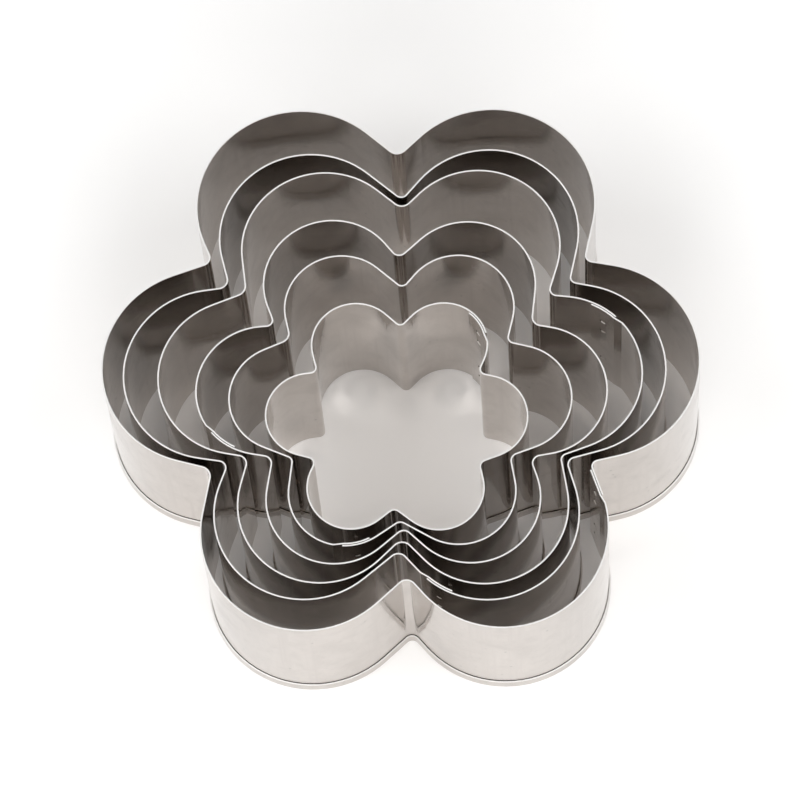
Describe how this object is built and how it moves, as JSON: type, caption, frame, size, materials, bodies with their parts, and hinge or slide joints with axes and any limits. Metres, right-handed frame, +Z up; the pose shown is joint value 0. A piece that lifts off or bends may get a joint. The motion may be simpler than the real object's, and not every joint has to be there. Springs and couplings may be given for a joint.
{
  "type": "cookie cutter",
  "caption": "Nest of flower-shaped steel cookie cutters that stand one inside another and lift out, each with a folded foot and a cutting edge on top.",
  "frame": {"origin": "under the middle of the nest's box, on the surface that the folded feet stand on", "axes": "+X through one lobe of the largest cutter, +Y to the back through a valley, +Z up from the feet to the cutting edges"},
  "size_m": [0.099, 0.0928, 0.03],
  "materials": {
    "stainless_steel": "mirror-polished sheet steel, lightly scratched, with plain sheared edges"
  },
  "bodies": {
    "largest": {"largest_cutter": "stainless_steel"},
    "second": {"second_cutter": "stainless_steel"},
    "third": {"third_cutter": "stainless_steel"},
    "fourth": {"fourth_cutter": "stainless_steel"},
    "fifth": {"fifth_cutter": "stainless_steel"},
    "smallest": {"smallest_cutter": "stainless_steel"}
  },
  "joints": [
    {"name": "second_lift", "type": "slide", "parent": "largest", "child": "second", "axis": [0, 0, 1], "range_m": [0, 0.035]},
    {"name": "third_lift", "type": "slide", "parent": "largest", "child": "third", "axis": [0, 0, 1], "range_m": [0, 0.035]},
    {"name": "fourth_lift", "type": "slide", "parent": "largest", "child": "fourth", "axis": [0, 0, 1], "range_m": [0, 0.035]},
    {"name": "fifth_lift", "type": "slide", "parent": "largest", "child": "fifth", "axis": [0, 0, 1], "range_m": [0, 0.035]},
    {"name": "smallest_lift", "type": "slide", "parent": "largest", "child": "smallest", "axis": [0, 0, 1], "range_m": [0, 0.035]}
  ]
}
